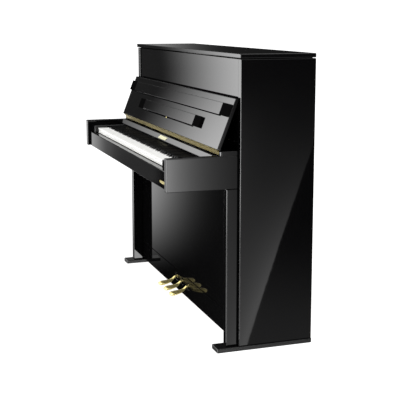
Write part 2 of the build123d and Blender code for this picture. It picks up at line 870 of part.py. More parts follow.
def pedal_bracket(x):
    """A two-eared bracket on the bottom board, and the pin through its ears."""
    pivot_y, pivot_z = PEDAL_PIVOT
    floor, ear_in, ear_out = 44.0, 9.0, 13.0
    with BuildPart() as bracket:
        add_box((x - 30, x + 30), (pivot_y - 14, pivot_y + 14), (floor, floor + 4))
        for sign in (-1, 1):
            ends = sorted((x + sign * ear_in, x + sign * ear_out))
            add_box(ends, (pivot_y - 12, pivot_y + 12), (floor, pivot_z + 12))
        with BuildSketch(Plane.YZ.offset(x - 30)):
            with Locations((pivot_y, pivot_z)):
                Circle(PIVOT_PIN)
        extrude(amount=60, mode=Mode.SUBTRACT)
    across = Plane(origin=(x, pivot_y, pivot_z), x_dir=(0, 1, 0), z_dir=(1, 0, 0))
    return [bracket, hinge_pin(across, -ear_out, 2 * ear_out, PIVOT_PIN)]


def make_pedals():
    """Three pedals, their brackets, and the rods that carry their motion up to the action."""
    brackets = []
    rod_low = PEDAL_PIVOT[1] + LEVER_HALF + 0.6
    rod_high = 790.0
    for name, x in (("left", -PEDAL_PITCH), ("middle", 0.0), ("right", PEDAL_PITCH)):
        save(pedal(x), f"pedal_{name}")
        brackets += pedal_bracket(x)
        upright = Plane(origin=(x, ROD_Y, 0), z_dir=(0, 0, 1))
        rod = hinge_pin(upright, rod_low, rod_high - rod_low, ROD_RADIUS)
        save(rod, f"pedal_rod_{name}")
    save_group(brackets, "pedal_brackets")


make_sides()
make_feet()
make_keybed()
make_key_slip()
make_nameboard()
make_hinge_shelf()
make_panels()
make_toe_rail()
make_back_frame()
make_rubber_buttons()
make_fallboard_hinge()
make_lid_hinges()
make_lid()
make_fallboard()
make_music_ledge()
make_keys()
make_key_frame()
make_action_frame()
make_hammers()
make_dampers()
make_muffler_rail()
make_soundboard()
make_iron_plate()
make_pin_block()
make_tuning_pins()
make_strings()
make_pedals()
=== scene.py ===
"""Looks of the upright piano: materials, small fittings, studio and camera around the CAD frame.

Metres, in the CAD frame: +X to the player's right, +Y to the back, +Z up.
"""
import json
from math import cos, pi, radians, sin

import bmesh
import bpy
from mathutils import Matrix, Vector


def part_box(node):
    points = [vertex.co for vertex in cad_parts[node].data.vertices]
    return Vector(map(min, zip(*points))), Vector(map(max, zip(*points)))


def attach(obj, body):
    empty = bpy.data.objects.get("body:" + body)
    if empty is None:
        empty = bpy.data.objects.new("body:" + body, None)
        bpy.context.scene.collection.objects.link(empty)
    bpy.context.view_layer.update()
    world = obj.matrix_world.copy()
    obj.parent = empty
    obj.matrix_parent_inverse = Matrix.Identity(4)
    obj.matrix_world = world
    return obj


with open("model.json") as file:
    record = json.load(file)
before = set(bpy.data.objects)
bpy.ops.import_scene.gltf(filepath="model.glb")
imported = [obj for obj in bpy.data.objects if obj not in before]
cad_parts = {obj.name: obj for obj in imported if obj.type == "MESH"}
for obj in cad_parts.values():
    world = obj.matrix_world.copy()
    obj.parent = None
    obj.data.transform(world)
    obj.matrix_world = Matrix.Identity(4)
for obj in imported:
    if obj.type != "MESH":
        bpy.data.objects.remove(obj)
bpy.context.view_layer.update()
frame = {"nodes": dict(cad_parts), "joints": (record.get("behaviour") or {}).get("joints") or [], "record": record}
nodes = frame["nodes"]
MM = 0.001

# Camera: metres, degrees turned from facing +Y and tilted down from level, lens in millimetres.
CAMERA_PLACE = (4.0525, -1.2935, 1.3095)
CAMERA_TURN = 71.3
CAMERA_TILT = 9.15
CAMERA_LENS = 83.4
CAMERA_SHIFT = -0.08

# Studio. The surround is what the camera and matt surfaces see: over 1, so that the
# background is pure white and the key tops nearly so. The gloss sees a room of lights
# instead, and a reflection of a reflection sees only this share of it.
SURROUND = 1.25
SECOND_REFLECTION = 0.1
LAMP_PLACE = (1.6, -2.4, 4.0)
LAMP_AIM = (0, 0, 0.7)
LAMP_WIDE = 3.0
LAMP_POWER = 90
FLOOR_HALF = 30.0

# Fittings: a plate is width by height, and a seam's bead is height by thickness. The seam beads are black strips
# of painted shade along the joints.
NAMEBOARD_PLATE = (112 * MM, 17 * MM)
NAMEBOARD_PLATE_X = 62 * MM
SLIP_PLATE = (86 * MM, 11 * MM)
SLIP_PLATE_INSET = 50 * MM
PLATE_THICK = 0.6 * MM
PLATE_BORDER = 1.2 * MM
HINGE_SCREW_PITCH = 91 * MM
FOOT_SEAM = (4 * MM, 0.5 * MM)
LEG_SEAM = (3 * MM, 0.5 * MM)
TOE_RAIL_SEAM = (4.6 * MM, 0.3 * MM)

# Places on the frame that materials and fittings share.
KEY_TOP_THICK = 2.5 * MM
BEAM_HIGH = 62 * MM
POST_PLACES = [x * MM for x in (-660, -330, 0, 330, 660)]

# The open fallboard leans back by this angle, and its inner face lies this far out from the
# plane through its hinge. The strip and the folded ledge start this far up from the hinge.
LEAN = radians(21.2)
FALLBOARD_FACE = 11.5 * MM
STRIP_START = 135 * MM
LEDGE_START = 60 * MM


# ---- node graphs --------------------------------------------------------------------
class Graph:
    """A short way to write shader nodes: each call adds one node and returns its output."""

    def __init__(self, tree):
        self.tree = tree

    def node(self, kind, inputs=None, output=0, **settings):
        made = self.tree.nodes.new(kind)
        for name, value in settings.items():
            setattr(made, name, value)
        for name, value in (inputs or {}).items():
            self.feed(made.inputs[name], value)
        return made.outputs[output]

    def feed(self, socket, value):
        if isinstance(value, bpy.types.NodeSocket):
            self.tree.links.new(value, socket)
        else:
            socket.default_value = value

    def math(self, operation, first, second=0.0):
        return self.node("ShaderNodeMath", {0: first, 1: second}, operation=operation)

    def smooth(self, value, low, high, start=0.0, end=1.0):
        """start below low, end above high, and a smooth step between them."""
        inputs = {"Value": value, "From Min": low, "From Max": high, "To Min": start, "To Max": end}
        return self.node("ShaderNodeMapRange", inputs, interpolation_type="SMOOTHSTEP")

    def band(self, value, rise, fall):
        """0, a smooth rise to 1 over the first pair, and a smooth fall to 0 over the second."""
        return self.times(self.smooth(value, *rise), self.smooth(value, *fall, 1, 0))

    def bell(self, value, centre, width):
        """1 at the centre, falling off on both sides like a bell."""
        offset = self.math("DIVIDE", self.math("SUBTRACT", value, centre), width)
        square = self.math("MULTIPLY", offset, offset)
        return self.math("EXPONENT", self.math("MULTIPLY", square, -0.5))

    def times(self, *values):
        product = values[0]
        for value in values[1:]:
            product = self.math("MULTIPLY", product, value)
        return product

    def plus(self, *values):
        total = values[0]
        for value in values[1:]:
            total = self.math("ADD", total, value)
        return total

    def noise(self, place, scale, detail=3.0, roughness=0.5, distortion=0.0):
        inputs = {
            "Vector": place,
            "Scale": scale,
            "Detail": detail,
            "Roughness": roughness,
            "Distortion": distortion,
        }
        return self.node("ShaderNodeTexNoise", inputs)

    def place(self, scale=(1, 1, 1), turn=(0, 0, 0)):
        """Object coordinates, which are the CAD's metres and ride with the piece."""
        coords = self.node("ShaderNodeTexCoord", output="Object")
        inputs = {"Vector": coords, "Rotation": turn, "Scale": scale}
        return self.node("ShaderNodeMapping", inputs)

    def axes(self, vector):
        made = self.tree.nodes.new("ShaderNodeSeparateXYZ")
        self.feed(made.inputs[0], vector)
        return made.outputs[0], made.outputs[1], made.outputs[2]

    def blend(self, share, first, second):
        made = self.tree.nodes.new("ShaderNodeMix")
        made.data_type = "RGBA"
        colours = [socket for socket in made.inputs if socket.type == "RGBA"]
        self.feed(made.inputs["Factor"], share)
        self.feed(colours[0], first)
        self.feed(colours[1], second)
        return [socket for socket in made.outputs if socket.type == "RGBA"][0]

    def bump(self, height, strength, distance, normal=None):
        inputs = {"Height": height, "Strength": strength, "Distance": distance}
        if normal is not None:
            inputs["Normal"] = normal
        return self.node("ShaderNodeBump", inputs)


def colour(red, green, blue):
    return (red, green, blue, 1.0)


def material(name, **settings):
    """A new material, its graph, and its shader with uniform numbers set on its own sockets."""
    made = bpy.data.materials.new(name)
    made.use_nodes = True
    shader = made.node_tree.nodes["Principled BSDF"]
    for socket, value in settings.items():
        shader.inputs[socket.replace("_", " ")].default_value = value
    return made, Graph(made.node_tree), shader


# ---- materials ----------------------------------------------------------------------
def black_lacquer(name="black_lacquer", smoothest=0.008, roughest=0.024):
    """Black polyester lacquer, polished: a deep black with faint unevenness in its gloss."""
    made, graph, shader = material(name, IOR=1.5, Specular_IOR_Level=0.5)
    place = graph.place()
    cloud = graph.noise(place, 6.0, detail=4.0)
    polish = graph.noise(place, 420.0, detail=2.0)
    graph.feed(
        shader.inputs["Base Color"],
        graph.blend(cloud, colour(0.0012, 0.0012, 0.0014), colour(0.0024, 0.0023, 0.0024)),
    )
    graph.feed(shader.inputs["Roughness"], graph.smooth(polish, 0.3, 0.8, smoothest, roughest))
    edge = graph.node("ShaderNodeBevel", {"Radius": 2.0 * MM}, samples=16)
    ripple = graph.noise(place, 26.0, detail=1.0)
    graph.feed(shader.inputs["Normal"], graph.bump(ripple, 0.008, 1 * MM, edge))
    return made


def satin_black(name, fibre, rough):
    """Black felt and rubber: fibre sets how coarse the surface is."""
    made, graph, shader = material(name, Specular_IOR_Level=0.0)
    place = graph.place()
    nap = graph.noise(place, fibre, detail=5.0, roughness=0.7)
    graph.feed(
        shader.inputs["Base Color"],
        graph.blend(nap, colour(0.0008, 0.0008, 0.0009), colour(0.004, 0.004, 0.004)),
    )
    graph.feed(shader.inputs["Roughness"], graph.smooth(nap, 0.2, 0.8, rough - 0.08, rough + 0.08))
    graph.feed(shader.inputs["Normal"], graph.bump(nap, 0.4, 0.4 * MM))
    return made


def brass(name, bright, dull, rough, polish=(900, 60, 900), metal=1.0, line_depth=0.04):
    """Brass with faint smears and fine polishing lines, which run along the small scale."""
    made, graph, shader = material(name, Metallic=metal)
    smear = graph.noise(graph.place(), 38.0, detail=4.0)
    lines = graph.noise(graph.place(polish), 1.0, detail=2.0)
    graph.feed(shader.inputs["Base Color"], graph.blend(smear, bright, dull))
    graph.feed(shader.inputs["Roughness"], graph.smooth(smear, 0.25, 0.8, rough, 1.7 * rough))
    edge = graph.node("ShaderNodeBevel", {"Radius": 1.5 * MM}, samples=4)
    graph.feed(shader.inputs["Normal"], graph.bump(lines, line_depth, 0.2 * MM, edge))
    return made


def wood_colour(graph, light, dark, turn, ring, streak=0.35):
    """Grain that runs along X after the turn: growth rings, fine pores and slow streaks."""
    board = graph.place((2.5, ring, ring), turn)
    rings = graph.noise(board, 1.0, detail=6.0, roughness=0.62, distortion=0.6)
    pores = graph.noise(graph.place((35, 1400, 1400), turn), 1.0, detail=2.0)
    streaks = graph.noise(graph.place((1.2, 14, 14), turn), 1.0, detail=2.0)
    figure = graph.smooth(rings, 0.32, 0.68)
    tone = graph.plus(graph.times(figure, 1 - streak), graph.times(streaks, streak))
    return graph.blend(tone, light, dark), figure, pores


def wood(name, light, dark, turn=(0, 0, 0), ring=90.0, rough=0.55):
    """Bare or thinly varnished wood."""
    made, graph, shader = material(name)
    tone, figure, pores = wood_colour(graph, light, dark, turn, ring)
    speck = graph.smooth(pores, 0.62, 0.75)
    graph.feed(shader.inputs["Base Color"], graph.blend(graph.times(speck, 0.4), tone, dark))
    graph.feed(shader.inputs["Roughness"], graph.smooth(figure, 0, 1, rough - 0.06, rough + 0.1))
    graph.feed(shader.inputs["Normal"], graph.bump(graph.plus(figure, pores), 0.12, 0.3 * MM))
    return made


def painted_and_shaded_wood():
    """The keybed and key frame: bare wood, black underneath as real keybeds are painted, and black at the front,
    which is paint on the keybed's front edge and painted shade in the gap between the key fronts and the slip.
    """
    made, graph, shader = material("painted_and_shaded_wood", Specular_IOR_Level=0.3)
    low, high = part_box("keybed")
    paint_and_shade_line = low[1] + 30 * MM
    tone, figure, pores = wood_colour(
        graph, colour(0.62, 0.45, 0.27), colour(0.40, 0.26, 0.13), (0, 0, 0), 90.0
    )
    _, depth, height = graph.axes(graph.place())
    # Black at the front: paint on the keybed's front edge, and painted shade in the gap behind the key fronts.
    # Black below the top: paint under the keybed.
    at_front = graph.math("LESS_THAN", depth, paint_and_shade_line)
    below = graph.math("LESS_THAN", height, high[2] - 3 * MM)
    painted = graph.math("MAXIMUM", at_front, below)
    graph.feed(shader.inputs["Base Color"], graph.blend(painted, tone, colour(0.003, 0.003, 0.003)))
    graph.feed(shader.inputs["Roughness"], graph.smooth(figure, 0, 1, 0.42, 0.6))
    graph.feed(shader.inputs["Normal"], graph.bump(graph.plus(figure, pores), 0.12, 0.3 * MM))
    return made


def back_timber():
    """The back frame: upright posts with their grain up, and beams with theirs across."""
    made, graph, shader = material("back_timber", Specular_IOR_Level=0.35)
    light, dark = colour(0.50, 0.33, 0.18), colour(0.27, 0.155, 0.075)
    upright, up_figure, up_pores = wood_colour(graph, light, dark, (0, radians(90), 0), 55.0)
    across, cross_figure, cross_pores = wood_colour(graph, light, dark, (0, 0, 0), 55.0)
    low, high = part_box("back_frame")
    _, _, height = graph.axes(graph.place())
    in_foot = graph.math("LESS_THAN", height, low[2] + BEAM_HIGH)
    in_head = graph.math("GREATER_THAN", height, high[2] - 1.5 * BEAM_HIGH)
    is_beam = graph.math("MAXIMUM", in_foot, in_head)
    tone = graph.blend(is_beam, upright, across)
    figure = graph.node("ShaderNodeMix", {"Factor": is_beam, "A": up_figure, "B": cross_figure})
    pores = graph.node("ShaderNodeMix", {"Factor": is_beam, "A": up_pores, "B": cross_pores})
    speck = graph.times(graph.smooth(pores, 0.62, 0.75), 0.4)
    graph.feed(shader.inputs["Base Color"], graph.blend(speck, tone, dark))
    graph.feed(shader.inputs["Roughness"], graph.smooth(figure, 0, 1, 0.42, 0.6))
    graph.feed(shader.inputs["Normal"], graph.bump(graph.plus(figure, pores), 0.12, 0.3 * MM))
    return made


def spruce():
    """The soundboard: spruce with close straight grain, its ribs crossing the grain."""
    made, graph, shader = material("spruce", Coat_Weight=0.25, Coat_Roughness=0.25)
    light, dark = colour(0.80, 0.60, 0.35), colour(0.60, 0.38, 0.18)
    panel, panel_figure, _ = wood_colour(graph, light, dark, (0, radians(-50), 0), 330.0, 0.3)
    rib, rib_figure, _ = wood_colour(graph, light, dark, (0, radians(40), 0), 260.0, 0.3)
    back_face = 222.5 * MM
    _, depth, _ = graph.axes(graph.place())
    is_rib = graph.math("GREATER_THAN", depth, back_face)
    figure = graph.node("ShaderNodeMix", {"Factor": is_rib, "A": panel_figure, "B": rib_figure})
    graph.feed(shader.inputs["Base Color"], graph.blend(is_rib, panel, rib))
    graph.feed(shader.inputs["Roughness"], graph.smooth(figure, 0, 1, 0.35, 0.5))
    graph.feed(shader.inputs["Normal"], graph.bump(figure, 0.08, 0.2 * MM))
    return made


def key_wood(graph):
    """The pale wood of a key's stick, with its grain along the key."""
    light, dark = colour(0.78, 0.60, 0.38), colour(0.62, 0.43, 0.23)
    tone, _, _ = wood_colour(graph, light, dark, (0, 0, radians(90)), 210.0)
    return tone


def key_white():
    """White key tops over sticks of bare wood."""
    made, graph, shader = material("key_white", Coat_Weight=0.2, Coat_Roughness=0.08)
    low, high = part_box("key_d4")
    place = graph.place()
    _, depth, height = graph.axes(place)
    under_top = graph.math("LESS_THAN", height, high[2] - KEY_TOP_THICK)
    behind_front = graph.math("GREATER_THAN", depth, low[1] + 6 * MM)
    stick = graph.math("MULTIPLY", under_top, behind_front)
    cloud = graph.noise(place, 55.0, detail=3.0)
    top = graph.blend(cloud, colour(0.95, 0.95, 0.93), colour(0.93, 0.93, 0.905))
    graph.feed(shader.inputs["Base Color"], graph.blend(stick, top, key_wood(graph)))
    graph.feed(shader.inputs["Roughness"], graph.smooth(cloud, 0.3, 0.7, 0.3, 0.38))
    graph.feed(shader.inputs["Normal"], graph.bump(cloud, 0.005, 0.3 * MM))
    return made


def key_black():
    """Black key tops with a satin sheen and a fine lengthwise grain, over wooden sticks."""
    made, graph, shader = material("key_black", Specular_IOR_Level=0.12)
    stick_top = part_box("key_d4")[1][2]
    _, _, height = graph.axes(graph.place())
    stick = graph.math("LESS_THAN", height, stick_top - 1 * MM)
    grain = graph.noise(graph.place((900, 40, 900)), 1.0, detail=3.0)
    top = graph.blend(grain, colour(0.0015, 0.0015, 0.0016), colour(0.004, 0.004, 0.004))
    graph.feed(shader.inputs["Base Color"], graph.blend(stick, top, key_wood(graph)))
    graph.feed(shader.inputs["Roughness"], graph.smooth(grain, 0.3, 0.7, 0.1, 0.18))
    graph.feed(shader.inputs["Normal"], graph.bump(grain, 0.08, 0.15 * MM))
    return made


def cast_plate():
    """Cast iron under bronze paint: a sandy skin with a dull metal gloss."""
    made, graph, shader = material("cast_plate", Metallic=0.7)
    place = graph.place()
    sand = graph.noise(place, 900.0, detail=4.0, roughness=0.7)
    cloud = graph.noise(place, 9.0, detail=3.0)
    graph.feed(
        shader.inputs["Base Color"],
        graph.blend(cloud, colour(0.72, 0.52, 0.22), colour(0.60, 0.42, 0.17)),
    )
    graph.feed(shader.inputs["Roughness"], graph.smooth(sand, 0.2, 0.8, 0.34, 0.52))
    graph.feed(shader.inputs["Normal"], graph.bump(sand, 0.25, 0.3 * MM))
    return made


def steel(name, bright, dull, rough):
    """Bare or plated steel with fine drawn lines."""
    made, graph, shader = material(name, Metallic=1.0)
    place = graph.place()
    cloud = graph.noise(place, 120.0, detail=3.0)
    graph.feed(shader.inputs["Base Color"], graph.blend(cloud, bright, dull))
    gloss = graph.smooth(cloud, 0.3, 0.7, rough - 0.06, rough + 0.08)
    graph.feed(shader.inputs["Roughness"], gloss)
    graph.feed(shader.inputs["Normal"], graph.bump(cloud, 0.05, 0.1 * MM))
    return made


def strings():
    """Plain steel strings, and copper windings on the bass strings at the left."""
    made, graph, shader = material("strings", Metallic=1.0)
    bass_end = -0.3
    place = graph.place()
    across, _, height = graph.axes(place)
    winding = graph.math("SINE", graph.math("MULTIPLY", height, 2 * pi / (1.1 * MM)))
    is_bass = graph.math("LESS_THAN", across, bass_end)
    cloud = graph.noise(place, 60.0)
    plain = graph.blend(cloud, colour(0.62, 0.62, 0.63), colour(0.5, 0.5, 0.52))
    copper = graph.blend(cloud, colour(0.80, 0.42, 0.25), colour(0.64, 0.32, 0.19))
    graph.feed(shader.inputs["Base Color"], graph.blend(is_bass, plain, copper))
    graph.feed(shader.inputs["Roughness"], graph.smooth(cloud, 0.3, 0.7, 0.22, 0.34))
    coil = graph.math("MULTIPLY", winding, is_bass)
    graph.feed(shader.inputs["Normal"], graph.bump(coil, 0.4, 0.1 * MM))
    return made


def felt(graph, shader, place):
    """Pressed wool: a soft fibrous surface."""
    wool = graph.noise(place, 1500.0, detail=4.0, roughness=0.75)
    graph.feed(shader.inputs["Normal"], graph.bump(wool, 0.35, 0.4 * MM))
    return graph.blend(wool, colour(0.86, 0.82, 0.72), colour(0.72, 0.67, 0.56))


def hammers():
    """White felt heads with red underfelt on slim maple shanks."""
    made, graph, shader = material("hammers", Roughness=0.8, Sheen_Weight=0.2)
    low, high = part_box("hammers")
    head_low = high[2] - 26 * MM
    place = graph.place()
    _, depth, height = graph.axes(place)
    white = felt(graph, shader, place)
    shank = key_wood(graph)
    is_head = graph.math("GREATER_THAN", height, head_low)
    core = graph.bell(depth, (low[1] + high[1]) / 2 - 1 * MM, 3.2 * MM)
    under = graph.math("GREATER_THAN", core, 0.5)
    head = graph.blend(under, white, colour(0.45, 0.05, 0.05))
    graph.feed(shader.inputs["Base Color"], graph.blend(is_head, shank, head))
    return made


def damper_felt():
    """White damper and muffler felt."""
    made, graph, shader = material("damper_felt", Roughness=0.9, Sheen_Weight=0.3)
    graph.feed(shader.inputs["Base Color"], felt(graph, shader, graph.place()))
    return made


MATERIALS = {
    "black_lacquer": black_lacquer(),
    "black_felt": satin_black("black_felt", 1400.0, 0.75),
    "rubber": satin_black("rubber", 500.0, 0.6),
    "brass": brass("brass", colour(0.98, 0.86, 0.40), colour(0.92, 0.76, 0.28), 0.12, metal=0.8),
    "key_white": key_white(),
    "key_black": key_black(),
    "case_wood": wood("case_wood", colour(0.62, 0.45, 0.27), colour(0.40, 0.26, 0.13)),
    "back_wood": back_timber(),
    "spruce": spruce(),
    "beech": wood("beech", colour(0.66, 0.45, 0.28), colour(0.50, 0.32, 0.18), ring=160.0),
    "cast_plate": cast_plate(),
    "steel": steel("steel", colour(0.62, 0.62, 0.64), colour(0.48, 0.48, 0.50), 0.26),
    "action_metal": steel("action_metal", colour(0.72, 0.72, 0.73), colour(0.6, 0.6, 0.62), 0.36),
    "hammer_felt": hammers(),
    "damper_felt": damper_felt(),
}
STRINGS = strings()
SATIN_LACQUER = black_lacquer("satin_lacquer", 0.3, 0.4)
PAINTED_AND_SHADED_WOOD = painted_and_shaded_wood()
PALE_BRASS = brass("pale_brass", colour(0.84, 0.82, 0.56), colour(0.74, 0.71, 0.46), 0.3, metal=0.4)
OLD_GOLD = brass("old_gold", colour(0.50, 0.43, 0.17), colour(0.32, 0.27, 0.10), 0.3, metal=0.6)
# A brass much darker than the pedals' brass, for the fallboard hinge and its screws.
DARK_BRASS = brass(
    "dark_brass",
    colour(0.21, 0.172, 0.058),
    colour(0.145, 0.117, 0.038),
    rough=0.32,
    polish=(8, 700, 700),
    line_depth=0.01,
)
UPRIGHT_WOOD = wood(
    "rod_wood", colour(0.66, 0.48, 0.29), colour(0.46, 0.30, 0.16), (0, radians(90), 0), 160.0
)


def dress_nodes():
    """Gives each CAD node the material of its slot."""
    for subpart in frame["record"]["subparts"]:
        name = subpart["node"]
        finish = MATERIALS[subpart["material_slot"]]
        if name == "strings":
            finish = STRINGS
        if name == "feet":
            finish = SATIN_LACQUER
        if name.startswith("fallboard_hinge"):
            finish = DARK_BRASS
        if name in ("keybed", "key_frame"):
            finish = PAINTED_AND_SHADED_WOOD
        if name.startswith("pedal_rod"):
            finish = UPRIGHT_WOOD
        for holder in nodes[name].material_slots:
            holder.material = finish


dress_nodes()


# ---- fittings -----------------------------------------------------------------------
def piece(name, mesh_builder, body, slot, finish=None):
    """A mesh piece made by mesh_builder(bmesh), riding on a body, in a slot's material."""
    mesh = bpy.data.meshes.new(name)
    shape = bmesh.new()
    mesh_builder(shape)
    shape.to_mesh(mesh)
    shape.free()
    made = bpy.data.objects.new(name, mesh)
    bpy.context.scene.collection.objects.link(made)
    mesh.materials.append(finish or MATERIALS[slot])
    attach(made, body)
    return made


def seat(place, outward, along=(1, 0, 0)):
    """A frame standing on a surface: its Z points out of it, its X runs along it."""
    out = Vector(outward).normalized()
    side = Vector(along).normalized()
    other = out.cross(side)
    turn = Matrix((side, other, out)).transposed().to_4x4()
    return Matrix.Translation(place) @ turn


def fallboard_seat(along):
    """A frame on the open fallboard's inner face, this far up from the hinge."""
    hinge = next(joint for joint in frame["joints"] if joint["name"] == "fallboard_close")
    out = Vector((0, -cos(LEAN), sin(LEAN)))
    up = Vector((0, sin(LEAN), cos(LEAN)))
    return seat(Vector(hinge["pos_m"]) + out * FALLBOARD_FACE + up * along, out)


def add_block(shape, at, middle, size, bevel):
    """A bevelled block standing on the plane of at, round a middle point in that plane."""
    lift = Matrix.Translation((middle[0], middle[1], size[2] / 2))
    place = at @ lift @ Matrix.Diagonal((*size, 1))
    block = bmesh.ops.create_cube(shape, size=1.0, matrix=place)
    edges = {edge for corner in block["verts"] for edge in corner.link_edges}
    bmesh.ops.bevel(shape, geom=list(edges), offset=bevel, segments=2, affect="EDGES")


def add_plate(shape, at, wide, high, thick):
    """A blank plate with a raised border, bevelled round its edges."""
    bar = PLATE_BORDER
    raised = 1.8 * thick
    parts = [((0, 0), (wide, high, thick))]
    for sign in (-1, 1):
        parts.append(((0, sign * (high - bar) / 2), (wide, bar, raised)))
        parts.append(((sign * (wide - bar) / 2, 0), (bar, high - 2 * bar, raised)))
    for middle, size in parts:
        add_block(shape, at, middle, size, 0.12 * MM)


def add_dome(shape, at, radius, high, rings=4, sides=20):
    """A low domed head, such as a screw's or a knob's, with a flat underside."""
    rim = []
    for ring in range(rings):
        lift = ring / rings
        reach = radius * cos(lift * pi / 2) ** 0.6
        height = high * sin(lift * pi / 2)
        circle = []
        for side in range(sides):
            angle = 2 * pi * side / sides
            place = at @ Vector((reach * cos(angle), reach * sin(angle), height))
            circle.append(shape.verts.new(place))
        rim.append(circle)
    top = shape.verts.new(at @ Vector((0, 0, high)))
    for lower, upper in zip(rim, rim[1:]):
        for side in range(sides):
            after = (side + 1) % sides
            shape.faces.new((lower[side], lower[after], upper[after], upper[side]))
    for side in range(sides):
        shape.faces.new((rim[-1][side], rim[-1][(side + 1) % sides], top))
    shape.faces.new(list(reversed(rim[0])))


def add_plates():
    """Blank brass plates: one on the nameboard, one at the right end of the key slip."""
    low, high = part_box("nameboard")
    run, rise = 21 * MM, 18.2 * MM
    slope_back = high[1] - 16 * MM
    middle = Vector((NAMEBOARD_PLATE_X, slope_back - run / 2, high[2] - rise / 2))
    name_at = seat(middle, (0, -rise, run))

    low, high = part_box("key_slip")
    drop = 12 * MM
    place = Vector((high[0] - SLIP_PLATE_INSET, low[1], (low[2] + high[2]) / 2 - drop))
    slip_at = seat(place, (0, -1, 0))

    plates = (
        ("nameboard_plate", name_at, NAMEBOARD_PLATE, PALE_BRASS),
        ("key_slip_plate", slip_at, SLIP_PLATE, OLD_GOLD),
    )
    for name, at, size, finish in plates:
        piece(name, lambda s: add_plate(s, at, *size, PLATE_THICK), "case", "brass", finish)


def add_lid_felts():
    """Felt strips on the case top, which the closed lid rests on."""
    front_wide, front_thick = 8 * MM, 3.6 * MM
    side_wide, side_thick = 14 * MM, 2.6 * MM
    low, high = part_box("upper_panel")
    front_middle = (0, low[1] + 10 * MM, high[2])
    strips = [(front_middle, (high[0] - low[0], front_wide, front_thick))]
    for side in ("left", "right"):
        low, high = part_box(f"side_panel_{side}")
        middle = ((low[0] + high[0]) / 2, (low[1] + high[1]) / 2, high[2])
        strips.append((middle, (side_wide, high[1] - low[1] - 24 * MM, side_thick)))

    def build(shape):
        for middle, size in strips:
            add_block(shape, seat(middle, (0, 0, 1)), (0, 0), size, 0.6 * MM)

    piece("lid_rest_felts", build, "case", "black_felt")


def add_outer_bead(shape, box, sign, height, seam):
    """A bead at this height, from front to back along the outer face of a box."""
    low, high = box
    outer = high[0] if sign > 0 else low[0]
    at = seat((outer, (low[1] + high[1]) / 2, height), (sign, 0, 0), (0, 1, 0))
    add_block(shape, at, (0, 0), (high[1] - low[1] - 2 * MM, *seam), 0.15 * MM)


def add_seams():
    """Dark beads along the joints, side panel to foot and arm to leg, on their outer faces: painted shade for the
    shadow lines under the side panel and the arm.
    """
    def build(shape):
        for side, sign in (("left", -1), ("right", 1)):
            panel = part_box(f"side_panel_{side}")
            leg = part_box(f"leg_{side}")
            add_outer_bead(shape, panel, sign, panel[0][2] + FOOT_SEAM[0] / 2, FOOT_SEAM)
            add_outer_bead(shape, leg, sign, leg[1][2], LEG_SEAM)

    # Painted shade: black beads in the felt material stand in for the shadow lines at these joints.
    piece("case_seam_shadows", build, "case", "black_felt")


def add_toe_rail_bead():
    """A dark bead along the joint between the toe rail and the lower panel: painted shade that keeps the joint
    line dark.
    """
    low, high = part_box("toe_rail")
    at = seat(((low[0] + high[0]) / 2, low[1], high[2] + 0.2 * MM), (0, -1, 0))
    size = (high[0] - low[0] - 1 * MM, *TOE_RAIL_SEAM)
    # Painted shade: a black bead in the felt material covers the joint's lit edge and stands in for its dark gap.
    piece("toe_rail_shade_bead", lambda s: add_block(s, at, (0, 0), size, 0.1 * MM), "case", "black_felt")


def add_fallboard_beads():
    """Black beads in the corners under the strip and the folded ledge, painted shade for the dark lines under
    their lower edges, and a small stud.
    """
    thick = 0.9 * MM
    wide = 4.0 * MM
    strip_low, strip_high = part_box("fallboard_strip")
    ledge_low, ledge_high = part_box("music_ledge")
    strip_at = fallboard_seat(STRIP_START - wide / 2)
    ledge_at = fallboard_seat(LEDGE_START - wide / 2 - 0.3 * MM)
    strip_long = strip_high[0] - strip_low[0]
    ledge_long = ledge_high[0] - ledge_low[0]

    def build(shape):
        add_block(shape, strip_at, (0, 0), (strip_long, wide, thick), 0.3 * MM)
        add_block(shape, ledge_at, (0, 0), (ledge_long, wide, thick), 0.3 * MM)

    # Painted shade: black beads in the felt material stand in for the thin shadows under the strip and the ledge.
    piece("fallboard_shade_beads", build, "fallboard", "black_felt")
    piece("ledge_stud", lambda s: add_dome(s, ledge_at, 3.5 * MM, 3 * MM), "fallboard", "brass")


def add_hinge_screws():
    """Countersunk screw heads along the fixed leaf of the fallboard hinge."""
    low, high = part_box("fallboard_hinge")
    leaf_front = high[1] - 1.4 * MM
    count = int((high[0] - low[0]) / HINGE_SCREW_PITCH)

    def build(shape):
        for step in range(count):
            x = (step - (count - 1) / 2) * HINGE_SCREW_PITCH
            at = seat((x, leaf_front, low[2] + 5 * MM), (0, -1, 0))
            add_dome(shape, at, 2.4 * MM, 0.5 * MM)

    piece("hinge_screws", build, "case", "brass", DARK_BRASS)


def add_back_bolts():
    """Round bolt heads with washers along the head and foot beams of the back frame."""
    low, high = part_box("back_frame")
    rows = (low[2] + 30 * MM, high[2] - 30 * MM, high[2] - 68 * MM)

    def build(shape):
        for x in POST_PLACES:
            for z in rows:
                at = seat((x, high[1], z), (0, 1, 0))
                add_dome(shape, at, 12 * MM, 1.6 * MM)
                add_dome(shape, at, 7 * MM, 4 * MM)

    piece("back_bolts", build, "case", "steel")


add_plates()
add_lid_felts()
add_seams()
add_toe_rail_bead()
add_fallboard_beads()
add_hinge_screws()
add_back_bolts()


# ---- studio -------------------------------------------------------------------------
def look_angles(graph):
    """A ray's direction in degrees: above the horizon, left and right.

    left turns from -X towards -Y, and right turns from +X towards +Y.
    """
    direction = graph.node("ShaderNodeTexCoord", output="Generated")
    x, y, z = graph.axes(graph.node("ShaderNodeVectorMath", {0: direction}, operation="NORMALIZE"))
    degrees = 180 / pi
    height = graph.times(graph.math("ARCSINE", z), degrees)
    right = graph.times(graph.math("ARCTAN2", y, x), degrees)
    left = graph.times(graph.math("ARCTAN2", graph.times(y, -1), graph.times(x, -1)), degrees)
    return height, left, right


